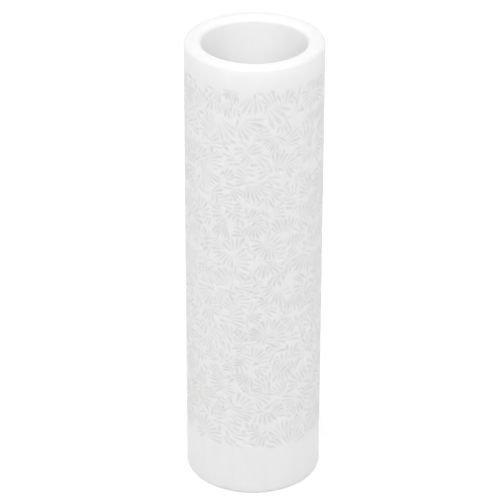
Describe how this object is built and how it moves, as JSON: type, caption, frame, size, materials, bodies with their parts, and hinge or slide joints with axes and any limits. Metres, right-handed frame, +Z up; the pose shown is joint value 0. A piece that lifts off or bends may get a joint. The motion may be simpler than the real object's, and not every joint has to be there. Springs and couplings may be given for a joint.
{
  "type": "hollow clay texture roller",
  "caption": "Hollow plastic hand roller for clay, open from end to end, with an engraved all-over fan pattern between two plain end bands.",
  "frame": {"origin": "centre of the end face that the roller stands on", "axes": "+Z up along the roller's axis, towards the end with the narrower plain band"},
  "size_m": [0.04, 0.04, 0.14],
  "materials": {
    "roller_plastic": "white, glossy, slightly translucent moulded plastic"
  },
  "bodies": {
    "root": {"roller_tube": "roller_plastic"}
  },
  "joints": []
}
